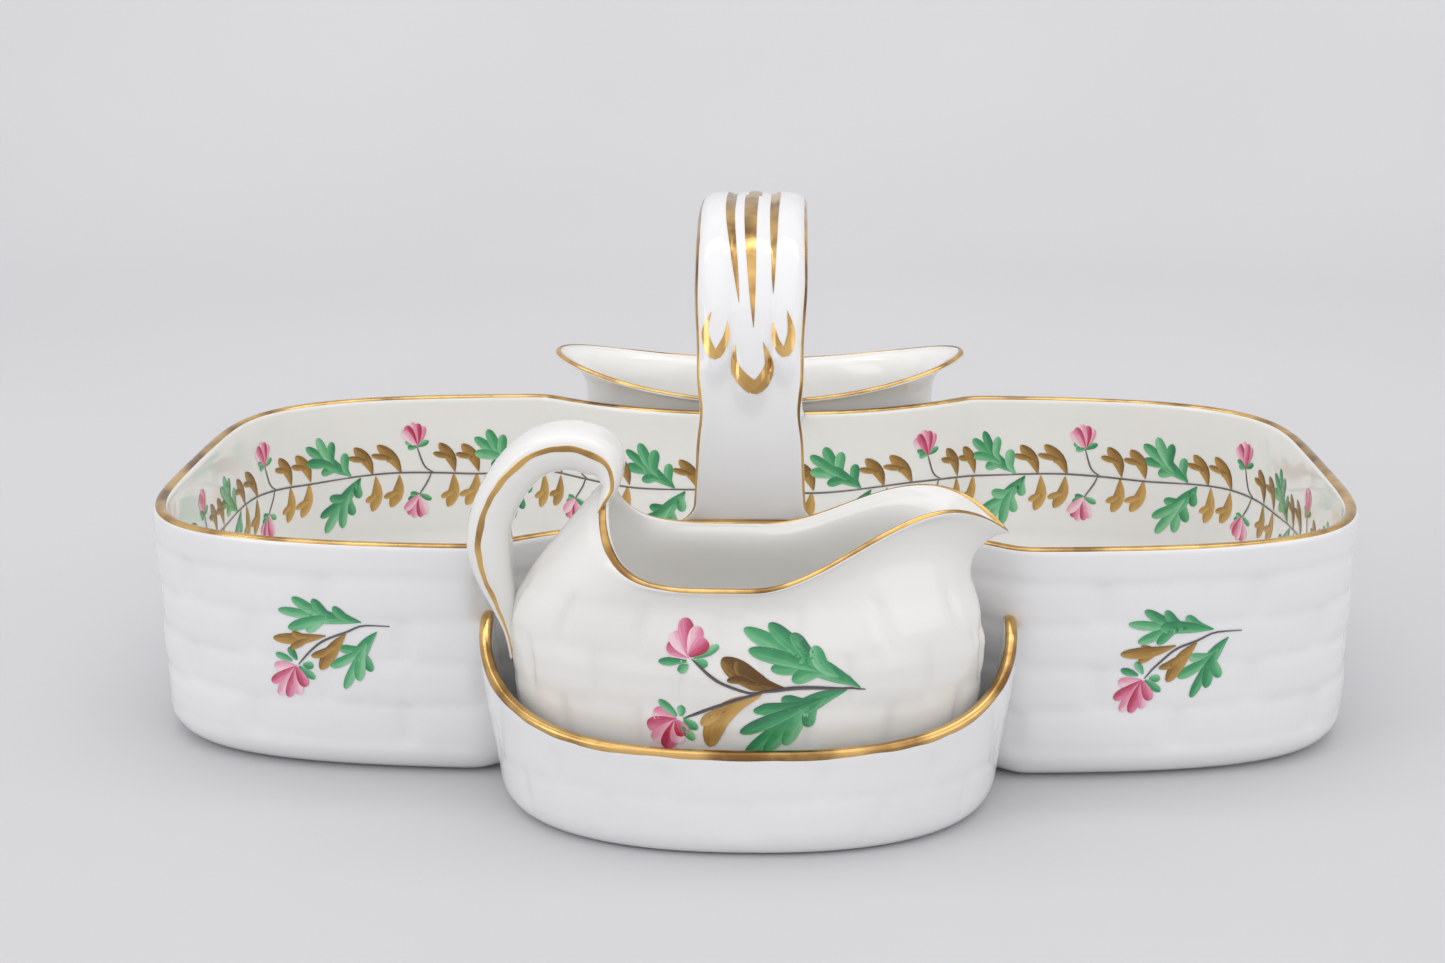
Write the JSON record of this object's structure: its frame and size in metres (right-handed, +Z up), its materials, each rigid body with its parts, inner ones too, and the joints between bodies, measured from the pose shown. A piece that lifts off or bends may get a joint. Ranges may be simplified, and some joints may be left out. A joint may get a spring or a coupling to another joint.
{
  "type": "porcelain basket tray with cream boat and sugar bowl",
  "caption": "Oblong basket tray with an overhead arch handle and two side pockets that hold a lift-out boat-shaped cream jug and a lift-out sugar bowl.",
  "frame": {"origin": "middle of the tray's flat underside, on the surface it stands on", "axes": "+X along the tray, +Y from the jug towards the sugar bowl, +Z up"},
  "size_m": [0.3, 0.243, 0.128],
  "materials": {
    "porcelain": "clear gloss glaze over cool white porcelain",
    "cream_porcelain": "clear gloss glaze over warm white porcelain",
    "gilding": "burnished gold line and brushwork",
    "green_enamel": "streaky hand-painted green leaves under a gloss",
    "pink_enamel": "streaky hand-painted pink petals under a gloss",
    "stem_enamel": "thin dark painted stems"
  },
  "bodies": {
    "basket": {"basket_tray": "porcelain", "front_pocket": "porcelain", "rear_pocket": "porcelain", "overhead_handle": "porcelain"},
    "jug": {"jug_body": "cream_porcelain", "jug_handle": "cream_porcelain"},
    "bowl": {"sugar_bowl": "cream_porcelain"}
  },
  "joints": [
    {"name": "jug_lift", "type": "slide", "parent": "basket", "child": "jug", "axis": [0, 0, 1], "range_m": [0, 0.13]},
    {"name": "bowl_lift", "type": "slide", "parent": "basket", "child": "bowl", "axis": [0, 0, 1], "range_m": [0, 0.13]}
  ]
}
